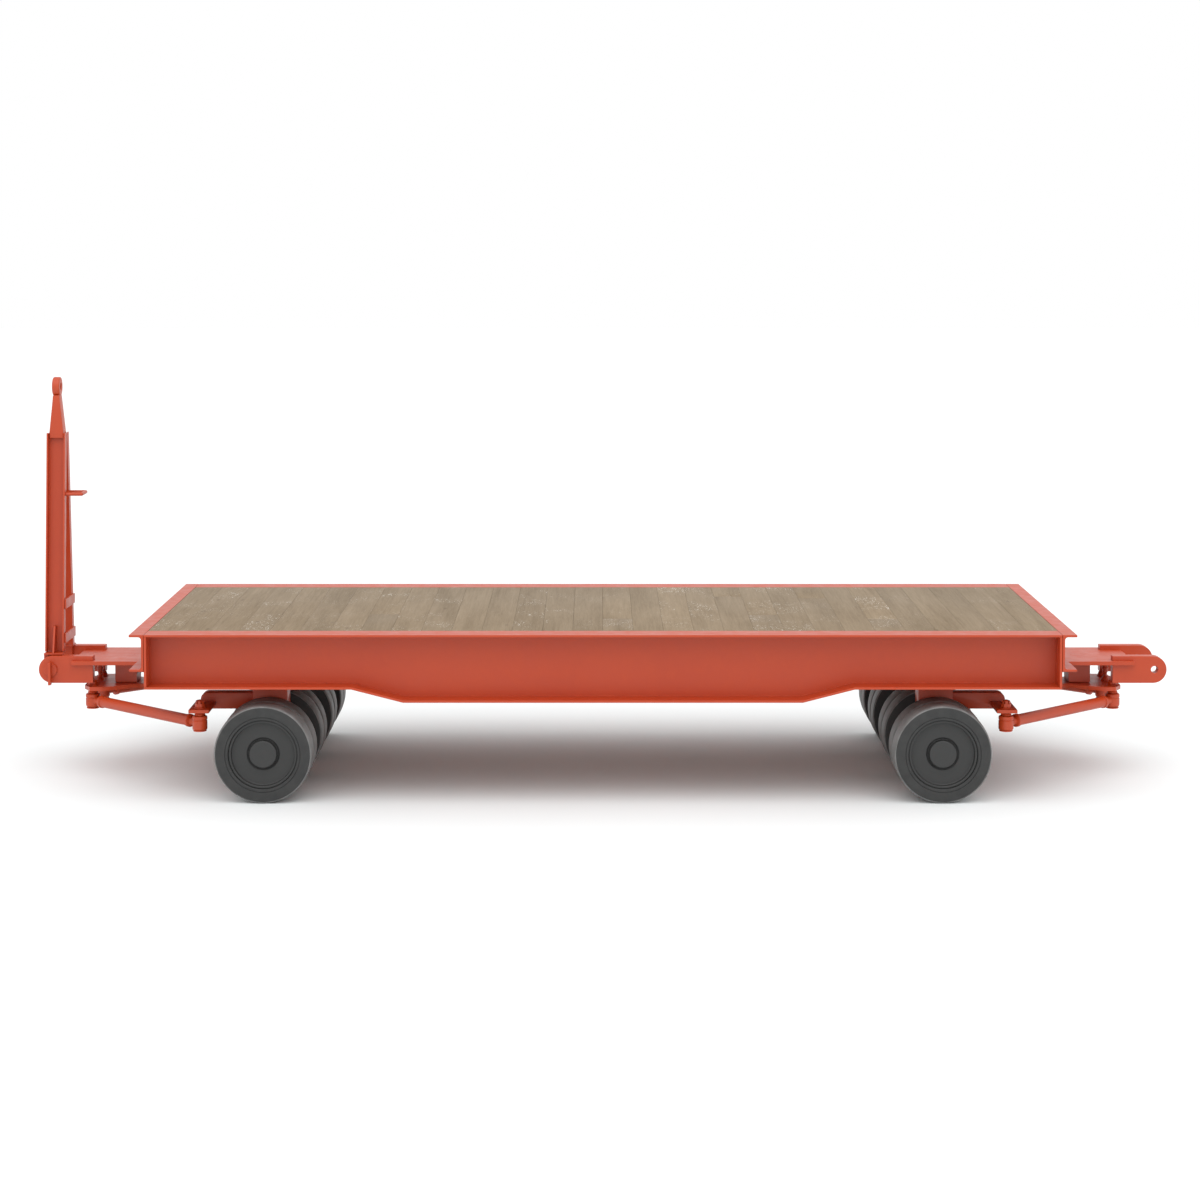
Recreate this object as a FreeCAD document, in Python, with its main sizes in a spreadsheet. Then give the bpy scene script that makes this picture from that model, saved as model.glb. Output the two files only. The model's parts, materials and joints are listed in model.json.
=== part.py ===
import FreeCAD, Part
import math
import os

import Sketcher
from FreeCAD import Placement, Rotation, Vector

# Heavy platform trailer: a plank deck on a fish-belly frame, four steered bogies with
# dual solid tyres, a steering fork at each end and an A-frame drawbar folded upright.
# Millimetres. X runs along the trailer with the drawbar at -X, Y across it, Z up.
# The origin is on the ground under the middle of the deck. Left is the -Y side.

DIMENSIONS = {
    # deck and frame
    "deck_length": 5000,
    "deck_width": 2000,
    "deck_height": 900,
    "beam_flange": 150,
    "beam_wall": 12,
    "beam_depth": 290,
    "belly_depth": 360,
    "belly_half": 1055,
    "taper_end": 1329,
    "end_beam_depth": 195,
    "end_beam_flange": 76,
    "end_plate_wall": 13,
    "plank_count": 30,
    "plank_wall": 45,
    "plank_gap": 2,
    "side_gap": 2,
    "joist_pitch": 450,
    "joist_width": 80,
    "joist_depth": 135,
    "joist_wall": 8,
    "bolster_width": 300,
    "bolster_bottom": 620,
    "bolster_wall": 12,
    # bogies
    "axle_offset": 1800,
    "swivel_offset": 565,
    "axle_height": 260,
    "turntable_radius": 116,
    "turntable_wall": 20,
    "swivel_gap": 0.5,
    "swivel_pin_radius": 40,
    "pin_clearance": 0.05,
    "column_length": 187,
    "column_width": 150,
    "axle_radius": 35,
    "axle_boss_radius": 75,
    "arm_bottom": 438,
    "arm_depth": 87,
    "arm_width": 90,
    "bracket_length": 110,
    "bracket_bottom": 460,
    "bracket_wall": 20,
    "bracket_margin": 46,
    # dual wheels
    "dual_offset": 271,
    "tyre_radius": 260,
    "tyre_width": 146,
    "tyre_gap": 18,
    "tyre_shoulder": 16,
    "rim_radius": 183,
    "rim_wall": 15,
    "rim_width": 290,
    "disc_outer": 118,
    "disc_wall": 20,
    "hub_radius": 70,
    "hub_inner_end": 130,
    "cap_radius": 73,
    "cap_end": 140,
    "axle_end": 110,
    # steering forks
    "fork_pivot": 2678,
    "fork_pin": 3070,
    "lug_tip": 3137,
    "fork_pin_height": 586,
    "lug_depth": 150,
    "lug_wall": 60,
    "lug_outer": 222,
    "lug_inner_end": 2836,
    "plate_wall": 22,
    "top_plate_height": 614,
    "top_plate_half": 250,
    "top_plate_nose": 2954,
    "plate_tail": 2560,
    "lower_plate_height": 466,
    "lower_plate_half": 225,
    "lower_plate_nose": 2895,
    "lower_plate_shoulder": 2776,
    "lower_plate_tail_half": 110,
    "pillar_offset": 2837,
    "pillar_base_radius": 25,
    "pillar_base_height": 22,
    "pillar_neck_radius": 10,
    "pillar_neck_height": 20,
    "pillar_radius": 15,
    "housing_length": 121,
    "housing_width": 150,
    "housing_gap": 2,
    "kingpin_radius": 40,
    "tongue_width": 120,
    "tongue_bottom": 544,
    "tongue_top": 606,
    "riser_front": 2380,
    "riser_top": 700,
    "retainer_radius": 60,
    "retainer_wall": 16,
    # tie rods
    "rod_height": 404,
    "rod_fork_x": 2850,
    "rod_fork_y": 150,
    "rod_bogie_x": 2153,
    "rod_bogie_y": 829,
    "rod_radius": 30,
    "rod_end_radius": 40,
    "rod_end_depth": 75,
    "rod_end_play": 17.5,
    "stud_radius": 14,
    "stud_cap_radius": 36,
    "stud_cap_wall": 8,
    "nut_radius": 26,
    "nut_depth": 20,
    "stud_tip_radius": 11,
    "stud_tip_height": 545,
    # drawbar
    "bore_radius": 20,
    "leg_section": 104,
    "leg_flange": 50,
    "leg_web": 6,
    "leg_rim": 8.5,
    "leg_inset": 8,
    "leg_foot_outer": 160,
    "leg_head_outer": 55,
    "leg_foot_height": 673,
    "leg_head_height": 1888,
    "foot_wall": 24,
    "foot_gap": 2,
    "foot_cap_wall": 8,
    "foot_cap_outer": 195,
    "foot_cap_inner": 105,
    "foot_half": 50,
    "gusset_wall": 10,
    "gusset_top": 818,
    "brace_wall": 10,
    "brace_depth": 54,
    "brace_half": 140,
    "upper_brace_height": 912,
    "lower_brace_height": 722,
    "upper_brace_half": 128,
    "handle_radius": 10,
    "handle_height": 1550,
    "handle_reach": 100,
    "handle_half": 62,
    "head_base": 1893,
    "head_base_wall": 14,
    "head_base_half": 62,
    "head_foot_width": 79,
    "head_neck_width": 34,
    "head_width": 84,
    "eye_height": 2150,
    "eye_outer_radius": 54,
    "eye_wall": 42,
    "pin_head_radius": 36,
    "pin_head_wall": 14,
    "grip_width": 14,
    "grip_reach": 36,
    "grip_length": 126,
    "grip_drop": 80,
}

FRONT, REAR = -1, 1
LEFT, RIGHT = -1, 1
END_NAMES = {FRONT: "front", REAR: "rear"}
SIDE_NAMES = {LEFT: "left", RIGHT: "right"}
DUAL_NAMES = {-1: "inner", 1: "outer"}

ALONG_X = Rotation(Vector(0, 1, 0), 90)
ALONG_Y = Rotation(Vector(1, 0, 0), -90)
UPRIGHT = Rotation()


class Size:
    """A length that carries its value and the spreadsheet formula behind it."""

    def __init__(self, value, formula=None):
        self.value = float(value)
        self.formula = formula or f"({self.value})"

    def __add__(self, other):
        return joined(self, "+", other, self.value + value_of(other))

    def __sub__(self, other):
        return joined(self, "-", other, self.value - value_of(other))

    def __mul__(self, other):
        return joined(self, "*", other, self.value * value_of(other))

    def __truediv__(self, other):
        return joined(self, "/", other, self.value / value_of(other))

    def __neg__(self):
        return self * -1

    __rmul__ = __mul__
    __radd__ = __add__


def value_of(item):
    return item.value if isinstance(item, Size) else float(item)


def sized(item):
    return item if isinstance(item, Size) else Size(item)


def joined(first, sign, second, value):
    return Size(value, f"({first.formula} {sign} {sized(second).formula})")


def length_of(run, rise):
    value = math.hypot(run.value, rise.value)
    return Size(value, f"sqrt({run.formula}^2 + {rise.formula}^2)")


def angle_of(run, rise):
    return math.degrees(math.atan2(rise.value, run.value))


class Sheet:
    """The driving dimensions, read as attributes that are bound to the spreadsheet."""

    def __init__(self, document):
        self.page = document.addObject("Spreadsheet::Sheet", "Dimensions")
        for row, (alias, value) in enumerate(DIMENSIONS.items(), 1):
            self.page.set(f"A{row}", alias)
            self.page.set(f"B{row}", str(value))
            self.page.setAlias(f"B{row}", alias)

    def __getattr__(self, alias):
        return Size(DIMENSIONS[alias], f"Dimensions.{alias}")


doc = FreeCAD.newDocument("PlatformTrailer")
size = Sheet(doc)
doc.recompute()
subparts = []


def bind(item, path, length):
    item.setExpression(path, sized(length).formula)


def place(item, x, y, z, rotation=UPRIGHT):
    item.Placement = Placement(Vector(value_of(x), value_of(y), value_of(z)), rotation)
    for axis, length in zip("xyz", (x, y, z)):
        bind(item, f"Placement.Base.{axis}", length)
    return item


def keep(item, label):
    """Make an object one of the trailer's sub-parts."""
    item.Label = label
    subparts.append(item)
    return item


def box(x, y, bottom, length, width, height):
    """A block centred on x and y, standing on bottom."""
    item = doc.addObject("Part::Box", "Block")
    bind(item, "Length", length)
    bind(item, "Width", width)
    bind(item, "Height", height)
    return place(item, sized(x) - sized(length) / 2, sized(y) - sized(width) / 2, bottom)


def cylinder(x, y, z, radius, height, rotation=UPRIGHT):
    """A cylinder whose axis starts at the point and follows the rotation."""
    item = doc.addObject("Part::Cylinder", "Round")
    bind(item, "Radius", radius)
    bind(item, "Height", height)
    return place(item, x, y, z, rotation)


def nut(x, y, bottom):
    item = doc.addObject("Part::Prism", "Nut")
    item.Polygon = 6
    bind(item, "Circumradius", size.nut_radius)
    bind(item, "Height", size.nut_depth)
    return place(item, x, y, bottom)


def fuse(items):
    item = doc.addObject("Part::MultiFuse", "Joined")
    item.Shapes = items
    return item


def group(items):
    """Separate, identical solids that share one node."""
    item = doc.addObject("Part::Compound", "Group")
    item.Links = items
    return item


def cut(base, tools):
    item = doc.addObject("Part::Cut", "Cut")
    item.Base = base
    item.Tool = tools[0] if len(tools) == 1 else fuse(tools)
    return item


def origin_plane(body, role):
    return next(item for item in body.Origin.OriginFeatures if item.Role == role)


def outline(body, role, loops, lift=0):
    """A sketch of closed outlines, each corner bound to the sheet."""
    sketch = body.newObject("Sketcher::SketchObject", "Outline")
    sketch.AttachmentSupport = [(origin_plane(body, role), "")]
    sketch.MapMode = "FlatFace"
    bind(sketch, "AttachmentOffset.Base.z", lift)
    for loop in loops:
        first = sketch.GeometryCount
        corners = [(sized(across), sized(up)) for across, up in loop]
        count = len(corners)
        for number, start in enumerate(corners):
            end = corners[(number + 1) % count]
            sketch.addGeometry(Part.LineSegment(flat(start), flat(end)), False)
        for number, corner in enumerate(corners):
            line = first + number
            following = first + (number + 1) % count
            sketch.addConstraint(Sketcher.Constraint("Coincident", line, 2, following, 1))
            fix(sketch, "DistanceX", line, corner[0])
            fix(sketch, "DistanceY", line, corner[1])
    return sketch


def flat(corner):
    return Vector(corner[0].value, corner[1].value, 0)


def fix(sketch, kind, line, length):
    number = sketch.addConstraint(Sketcher.Constraint(kind, -1, 1, line, 1, length.value))
    bind(sketch, f"Constraints[{number}]", length)


def prism(role, loop, depth):
    """A body padded evenly both ways from an origin plane."""
    body = doc.addObject("PartDesign::Body", "Body")
    pad = body.newObject("PartDesign::Pad", "Pad")
    pad.Profile = outline(body, role, [loop])
    pad.SideType = "Symmetric"
    bind(pad, "Length", depth)
    return body


def turned(loops):
    """A body of revolution about Y, from outlines of radius against distance along Y."""
    body = doc.addObject("PartDesign::Body", "Body")
    sketch = outline(body, "XY_Plane", loops)
    turn = body.newObject("PartDesign::Revolution", "Turn")
    turn.Profile = sketch
    turn.ReferenceAxis = (sketch, ["V_Axis"])
    turn.Angle = 360
    return body


# ---- frame and deck ----

def side_outline(inset):
    """Half-beam corners of the fish-belly side, inset evenly from its edges."""
    half = size.deck_length / 2 - size.end_beam_flange - size.side_gap
    top = size.deck_height - inset
    shallow = size.deck_height - size.beam_depth + inset
    deep = size.deck_height - size.belly_depth + inset
    lower = [
        (half, shallow),
        (size.taper_end, shallow),
        (size.belly_half, deep),
    ]
    mirrored = [(-across, up) for across, up in reversed(lower)]
    return [(half, top)] + lower + mirrored + [(-half, top)]


def make_side_beam(side):
    beam = prism("XZ_Plane", side_outline(0), size.beam_flange)
    recess = beam.newObject("PartDesign::Pocket", "Recess")
    recess.Profile = outline(beam, "XZ_Plane", [side_outline(size.beam_wall)], size.beam_flange / 2)
    bind(recess, "Length", size.beam_flange - size.beam_wall)
    middle = size.deck_width / 2 - size.beam_flange / 2
    place(beam, 0, side * middle, 0, Rotation(Vector(0, 0, 1), 0 if side == LEFT else 180))
    keep(beam, f"side_beam_{SIDE_NAMES[side]}")


def make_end_beam(end):
    """A channel across the frame with its flanges outwards."""
    outer = size.deck_length / 2
    inner = outer - size.end_beam_flange
    top = size.deck_height
    bottom = top - size.end_beam_depth
    wall = size.beam_wall
    section = [
        (inner, bottom),
        (outer, bottom),
        (outer, bottom + wall),
        (inner + wall, bottom + wall),
        (inner + wall, top - wall),
        (outer, top - wall),
        (outer, top),
        (inner, top),
    ]
    beam = prism("XZ_Plane", section, size.deck_width)
    place(beam, 0, 0, 0, Rotation(Vector(0, 0, 1), 180 if end == FRONT else 0))
    keep(beam, f"end_beam_{END_NAMES[end]}")


def make_end_plates():
    x = size.deck_length / 2 - size.end_beam_flange - size.side_gap - size.end_plate_wall / 2
    depth = size.beam_flange - size.beam_wall
    y = size.deck_width / 2 - depth / 2
    bottom = size.deck_height - size.beam_depth + size.beam_wall
    height = size.beam_depth - size.beam_wall * 2
    plates = [
        box(end * x, side * y, bottom, size.end_plate_wall, depth, height)
        for end in (FRONT, REAR)
        for side in (LEFT, RIGHT)
    ]
    keep(group(plates), "frame_end_plates")


def inner_width():
    return size.deck_width - size.beam_flange * 2


def hollow_beam(x, bottom, width, depth, wall):
    """A rectangular tube that runs across between the side beams."""
    tube = box(x, 0, bottom, width, inner_width(), depth)
    hollow = box(x, 0, bottom + wall, width - wall * 2, inner_width(), depth - wall * 2)
    return cut(tube, [hollow])


def make_joists():
    """Cross members under the planks, one pitch apart and missing over the axles."""
    bottom = size.deck_height - size.plank_wall - size.joist_depth
    over_axle = round(size.axle_offset.value / size.joist_pitch.value)
    joists = [
        hollow_beam(
            number * size.joist_pitch, bottom, size.joist_width, size.joist_depth, size.joist_wall
        )
        for number in range(-over_axle - 1, over_axle + 2)
        if abs(number) != over_axle
    ]
    keep(group(joists), "cross_members")


def make_bolster(end):
    """The box beam over an axle line, with its two swivel seats."""
    x = end * size.axle_offset
    bottom = size.bolster_bottom
    height = size.deck_height - size.plank_wall - bottom
    wall = size.bolster_wall
    tube = hollow_beam(x, bottom, size.bolster_width, height, wall)
    seat_bottom = swivel_top() + size.swivel_gap
    seats = [
        cylinder(x, side * size.swivel_offset, seat_bottom, size.turntable_radius, bottom - seat_bottom)
        for side in (LEFT, RIGHT)
    ]
    bore = size.swivel_pin_radius + size.pin_clearance
    bores = [
        cylinder(x, side * size.swivel_offset, seat_bottom, bore, bottom + wall - seat_bottom)
        for side in (LEFT, RIGHT)
    ]
    keep(cut(fuse([tube] + seats), bores), f"bolster_{END_NAMES[end]}")


def swivel_top():
    """Height of the turning half of each bogie's turntable."""
    return size.bolster_bottom - size.turntable_wall


def make_planks():
    clear_length = size.deck_length - (size.end_beam_flange + size.side_gap) * 2
    pitch = clear_length / size.plank_count
    start = clear_length / -2 + pitch / 2
    bottom = size.deck_height - size.plank_wall
    width = inner_width() - size.side_gap * 2
    planks = [
        box(start + number * pitch, 0, bottom, pitch - size.plank_gap, width, size.plank_wall)
        for number in range(DIMENSIONS["plank_count"])
    ]
    keep(group(planks), "deck_planks")


def make_kingpin_bracket(end):
    """The tongue under the end beam and the housing that the fork's kingpin turns in."""
    x = end * size.fork_pivot
    bottom = size.lower_plate_height + size.plate_wall + size.housing_gap
    top = size.top_plate_height - size.housing_gap
    housing = box(x, 0, bottom, size.housing_length, size.housing_width, top - bottom)
    root = size.axle_offset + size.bolster_width / 2
    reach = size.fork_pivot - root
    tongue = box(
        end * (root + reach / 2),
        0,
        size.tongue_bottom,
        reach,
        size.tongue_width,
        size.tongue_top - size.tongue_bottom,
    )
    riser = box(
        end * (root + size.riser_front) / 2,
        0,
        size.tongue_top,
        size.riser_front - root,
        size.tongue_width,
        size.riser_top - size.tongue_top,
    )
    bore = cylinder(x, 0, bottom, size.kingpin_radius + size.pin_clearance, top - bottom)
    keep(cut(fuse([housing, tongue, riser]), [bore]), f"kingpin_bracket_{END_NAMES[end]}")


# ---- steering forks ----

def lug_middle():
    return size.lug_outer - size.lug_wall / 2


def make_fork_lugs(end):
    bottom = size.fork_pin_height - size.lug_depth / 2
    nose_x = size.lug_tip - size.lug_depth / 2
    reach = nose_x - size.lug_inner_end
    lugs = []
    for side in (LEFT, RIGHT):
        start = side * lug_middle() - size.lug_wall / 2
        plate = box(
            end * (size.lug_inner_end + reach / 2),
            side * lug_middle(),
            bottom,
            reach,
            size.lug_wall,
            size.lug_depth,
        )
        nose_line = (end * nose_x, start, size.fork_pin_height)
        pin_line = (end * size.fork_pin, start, size.fork_pin_height)
        nose = cylinder(*nose_line, size.lug_depth / 2, size.lug_wall, ALONG_Y)
        bore = cylinder(*pin_line, size.bore_radius, size.lug_wall, ALONG_Y)
        lugs.append(cut(fuse([plate, nose]), [bore]))
    keep(group(lugs), f"fork_lugs_{END_NAMES[end]}")


def make_fork_top_plate(end):
    """The plate that the lugs pass through and that turns on the kingpin."""
    bottom = size.top_plate_height
    wall = size.plate_wall
    length = size.top_plate_nose - size.plate_tail
    middle = (size.top_plate_nose + size.plate_tail) / 2
    plate = box(end * middle, 0, bottom, length, size.top_plate_half * 2, wall)
    slot_length = size.top_plate_nose - size.lug_inner_end
    slots = [
        box(
            end * (size.lug_inner_end + slot_length / 2),
            side * lug_middle(),
            bottom,
            slot_length,
            size.lug_wall,
            wall,
        )
        for side in (LEFT, RIGHT)
    ]
    bore = cylinder(end * size.fork_pivot, 0, bottom, size.kingpin_radius, wall)
    keep(cut(plate, slots + [bore]), f"fork_top_plate_{END_NAMES[end]}")


def make_fork_lower_plate(end):
    """The plate that carries both tie rods, wide at its nose and narrow under the frame."""
    nose = size.lower_plate_nose
    half = size.lower_plate_half
    shoulder = size.lower_plate_shoulder
    edge = [
        (nose, half - size.rod_end_depth),
        (nose - size.rod_end_radius, half),
        (shoulder, half),
        (size.plate_tail + size.rod_end_radius, size.lower_plate_tail_half),
        (size.plate_tail, size.lower_plate_tail_half),
    ]
    mirrored = [(along, -across) for along, across in reversed(edge)]
    plate = prism("XY_Plane", edge + mirrored, size.plate_wall)
    turn = Rotation(Vector(0, 0, 1), 180 if end == FRONT else 0)
    place(plate, 0, 0, size.lower_plate_height + size.plate_wall / 2, turn)
    bottom = size.lower_plate_height
    bores = [cylinder(end * size.fork_pivot, 0, bottom, size.kingpin_radius, size.plate_wall)]
    for side in (LEFT, RIGHT):
        spot = (end * size.rod_fork_x, side * size.rod_fork_y, bottom)
        bores.append(cylinder(*spot, size.stud_radius, size.plate_wall))
    keep(cut(plate, bores), f"fork_lower_plate_{END_NAMES[end]}")


def make_fork_pillar(end):
    """The waisted spacer between the two fork plates, on the centre line."""
    x = end * size.pillar_offset
    bottom = size.lower_plate_height + size.plate_wall
    neck = bottom + size.pillar_base_height
    shaft = neck + size.pillar_neck_height
    base_part = cylinder(x, 0, bottom, size.pillar_base_radius, size.pillar_base_height)
    neck_part = cylinder(x, 0, neck, size.pillar_neck_radius, size.pillar_neck_height)
    shaft_part = cylinder(x, 0, shaft, size.pillar_radius, size.top_plate_height - shaft)
    keep(fuse([base_part, neck_part, shaft_part]), f"fork_pillar_{END_NAMES[end]}")


def make_kingpin(end):
    x = end * size.fork_pivot
    bottom = size.lower_plate_height
    height = size.top_plate_height + size.plate_wall - bottom
    pin = cylinder(x, 0, bottom, size.kingpin_radius, height)
    retainer = cylinder(x, 0, bottom - size.retainer_wall, size.retainer_radius, size.retainer_wall)
    keep(fuse([pin, retainer]), f"kingpin_{END_NAMES[end]}")


def stud(x, y, plate_top):
    """A ball stud with its cap under the rod end, and its nut and tip above the plate."""
    cap_bottom = size.rod_height - size.rod_end_depth / 2 - size.stud_cap_wall - size.swivel_gap
    cap = cylinder(x, y, cap_bottom, size.stud_cap_radius, size.stud_cap_wall)
    shank = cylinder(x, y, cap_bottom, size.stud_radius, plate_top + size.nut_depth - cap_bottom)
    tip_start = plate_top + size.nut_depth
    tip = cylinder(x, y, tip_start, size.stud_tip_radius, size.stud_tip_height - tip_start)
    return fuse([cap, shank, nut(x, y, plate_top), tip])


def make_fork_studs(end):
    plate_top = size.lower_plate_height + size.plate_wall
    studs = [
        stud(end * size.rod_fork_x, side * size.rod_fork_y, plate_top) for side in (LEFT, RIGHT)
    ]
    keep(group(studs), f"fork_ball_studs_{END_NAMES[end]}")


# ---- tie rods ----

def make_tie_rod(end, side):
    """A tube between two rod ends; the bogie end is bored wide."""
    near = (end * size.rod_fork_x, side * size.rod_fork_y)
    far = (end * size.rod_bogie_x, side * size.rod_bogie_y)
    run = far[0] - near[0]
    rise = far[1] - near[1]
    bottom = size.rod_height - size.rod_end_depth / 2
    tube = doc.addObject("Part::Cylinder", "Tube")
    bind(tube, "Radius", size.rod_radius)
    bind(tube, "Height", length_of(run, rise))
    heading = Rotation(Vector(0, 0, 1), angle_of(run, rise))
    place(tube, near[0], near[1], size.rod_height, heading.multiply(ALONG_X))
    ends = [cylinder(x, y, bottom, size.rod_end_radius, size.rod_end_depth) for x, y in (near, far)]
    fork_bore = size.stud_radius + size.pin_clearance
    bogie_bore = size.stud_radius + size.rod_end_play
    bores = [
        cylinder(*near, bottom, fork_bore, size.rod_end_depth),
        cylinder(*far, bottom, bogie_bore, size.rod_end_depth),
    ]
    keep(cut(fuse([tube] + ends), bores), f"tie_rod_{END_NAMES[end]}_{SIDE_NAMES[side]}")


# ---- bogies ----

def make_bogie_frame(end, side):
    """Turntable, column, steering arm and the bracket that reaches out to the tie rod."""
    x = end * size.axle_offset
    y = side * size.swivel_offset
    top = swivel_top()
    disc = cylinder(x, y, top - size.turntable_wall, size.turntable_radius, size.turntable_wall)
    pin = cylinder(x, y, top, size.swivel_pin_radius, size.turntable_wall + size.bolster_wall)
    column_top = top - size.turntable_wall
    column = box(
        x, y, size.axle_height, size.column_length, size.column_width, column_top - size.axle_height
    )
    boss_start = y - size.column_width / 2
    boss = cylinder(x, boss_start, size.axle_height, size.axle_boss_radius, size.column_width, ALONG_Y)
    axle_bore = cylinder(x, boss_start, size.axle_height, size.axle_radius, size.column_width, ALONG_Y)
    bracket_start = size.rod_bogie_x - size.bracket_length / 2
    arm_length = size.rod_bogie_x + size.bracket_length / 4 - size.axle_offset
    arm = box(
        end * (size.axle_offset + arm_length / 2),
        y,
        size.arm_bottom,
        arm_length,
        size.arm_width,
        size.arm_depth,
    )
    bracket_width = size.rod_bogie_y + size.bracket_margin - size.swivel_offset
    bracket = box(
        end * (bracket_start + size.bracket_length / 2),
        side * (size.swivel_offset + bracket_width / 2),
        size.bracket_bottom,
        size.bracket_length,
        bracket_width,
        size.bracket_wall,
    )
    joint = stud(
        end * size.rod_bogie_x, side * size.rod_bogie_y, size.bracket_bottom + size.bracket_wall
    )
    frame = cut(fuse([disc, pin, column, boss, arm, bracket, joint]), [axle_bore])
    keep(frame, f"bogie_frame_{END_NAMES[end]}_{SIDE_NAMES[side]}")


def make_axle(end, side):
    half = size.dual_offset + size.axle_end
    start = side * size.swivel_offset - half
    x = end * size.axle_offset
    axle = cylinder(x, start, size.axle_height, size.axle_radius, half * 2, ALONG_Y)
    keep(axle, f"axle_{END_NAMES[end]}_{SIDE_NAMES[side]}")


def tyre_loop(middle):
    """One tyre's section: square with cut shoulders."""
    half = size.tyre_width / 2
    shoulder = size.tyre_shoulder
    return [
        (size.rim_radius, middle - half),
        (size.tyre_radius - shoulder, middle - half),
        (size.tyre_radius, middle - half + shoulder),
        (size.tyre_radius, middle + half - shoulder),
        (size.tyre_radius - shoulder, middle + half),
        (size.rim_radius, middle + half),
    ]


def rim_loop():
    """The drum, disc, hub and cap of a dual wheel, with its outer face towards +Y."""
    half = size.rim_width / 2
    inner = size.rim_radius - size.rim_wall
    bore = size.axle_radius + size.pin_clearance
    disc_inner = size.disc_outer - size.disc_wall
    bore_end = size.axle_end + size.housing_gap
    return [
        (0, bore_end),
        (0, size.cap_end),
        (size.cap_radius, size.cap_end),
        (size.cap_radius, size.disc_outer),
        (inner, size.disc_outer),
        (inner, half),
        (size.rim_radius, half),
        (size.rim_radius, -half),
        (inner, -half),
        (inner, disc_inner),
        (size.hub_radius, disc_inner),
        (size.hub_radius, -size.hub_inner_end),
        (bore, -size.hub_inner_end),
        (bore, bore_end),
    ]


def make_wheel(end, side, dual):
    """A dual wheel; its capped face is the one away from the bogie's column."""
    facing = side * dual
    spot = (end * size.axle_offset, side * size.swivel_offset + facing * size.dual_offset)
    turn = Rotation(Vector(0, 0, 1), 0 if facing > 0 else 180)
    name = f"{END_NAMES[end]}_{SIDE_NAMES[side]}_{DUAL_NAMES[dual]}"
    pitch = (size.tyre_width + size.tyre_gap) / 2
    tyres = turned([tyre_loop(pitch), tyre_loop(-pitch)])
    rim = turned([rim_loop()])
    for body, kind in ((tyres, "tyres"), (rim, "rim")):
        place(body, *spot, size.axle_height, turn)
        keep(body, f"{kind}_{name}")


# ---- drawbar, standing upright over the front fork ----

def leg_x():
    return size.leg_inset - size.fork_pin


def make_drawbar_leg(side):
    """A channel that opens outwards and leans in towards the towing eye."""
    rise = size.leg_head_height - size.leg_foot_height
    lean = size.leg_foot_outer - size.leg_head_outer
    length = length_of(rise, lean)
    web_y = size.leg_foot_outer - size.leg_flange
    section = [
        (size.leg_section / -2, 0),
        (size.leg_section / 2, 0),
        (size.leg_section / 2, size.leg_flange),
        (size.leg_section / 2 - size.leg_rim, size.leg_flange),
        (size.leg_section / 2 - size.leg_rim, size.leg_web),
        (size.leg_rim - size.leg_section / 2, size.leg_web),
        (size.leg_rim - size.leg_section / 2, size.leg_flange),
        (size.leg_section / -2, size.leg_flange),
    ]
    leg = doc.addObject("PartDesign::Body", "Body")
    pad = leg.newObject("PartDesign::Pad", "Pad")
    pad.Profile = outline(leg, "XY_Plane", [section])
    bind(pad, "Length", length)
    facing = Rotation(Vector(0, 0, 1), 0 if side == RIGHT else 180)
    tilt = Rotation(Vector(1, 0, 0), side * angle_of(rise, lean))
    place(leg, leg_x(), side * web_y, size.leg_foot_height, tilt.multiply(facing))
    keep(leg, f"drawbar_leg_{SIDE_NAMES[side]}")


def make_drawbar_feet():
    """Under each leg, a cap plate and the eye plate that the hinge pin goes through."""
    inner = size.lug_outer - size.lug_wall - size.foot_gap
    cap_bottom = size.leg_foot_height - size.foot_cap_wall - size.swivel_gap
    feet = []
    for side in (LEFT, RIGHT):
        middle = side * (inner - size.foot_wall / 2)
        pin_line = (-size.fork_pin, middle - size.foot_wall / 2, size.fork_pin_height)
        cap_width = size.foot_cap_outer - size.foot_cap_inner
        cap = box(
            leg_x(),
            side * (size.foot_cap_inner + cap_width / 2),
            cap_bottom,
            size.leg_section,
            cap_width,
            size.foot_cap_wall,
        )
        plate = box(
            -size.fork_pin,
            middle,
            size.fork_pin_height,
            size.foot_half * 2,
            size.foot_wall,
            cap_bottom - size.fork_pin_height,
        )
        round_end = cylinder(*pin_line, size.foot_half, size.foot_wall, ALONG_Y)
        bore = cylinder(*pin_line, size.bore_radius, size.foot_wall, ALONG_Y)
        feet.append(cut(fuse([cap, plate, round_end]), [bore]))
    keep(group(feet), "drawbar_feet")


def make_drawbar_gussets():
    """A triangular rib in each channel, standing on the foot's cap."""
    bottom = size.leg_foot_height
    lean = (size.leg_foot_outer - size.leg_head_outer) / (size.leg_head_height - bottom)
    rise = size.gusset_top - bottom
    web_y = size.leg_foot_outer - size.leg_flange + size.leg_web * 2
    ribs = []
    for side in (LEFT, RIGHT):
        loop = [
            (side * web_y, bottom),
            (side * size.foot_cap_outer, bottom),
            (side * (size.leg_foot_outer - lean * rise), size.gusset_top),
            (side * (web_y - lean * rise), size.gusset_top),
        ]
        rib = prism("YZ_Plane", loop, size.gusset_wall)
        ribs.append(place(rib, leg_x(), 0, 0))
    keep(group(ribs), "drawbar_gussets")


def make_drawbar_braces():
    x = leg_x() + size.leg_section / 2 + size.brace_wall / 2 + size.swivel_gap
    heights = (
        (size.upper_brace_height, size.upper_brace_half),
        (size.lower_brace_height, size.brace_half),
    )
    braces = [
        box(x, 0, bottom, size.brace_wall, half * 2, size.brace_depth) for bottom, half in heights
    ]
    keep(group(braces), "drawbar_braces")


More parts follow.
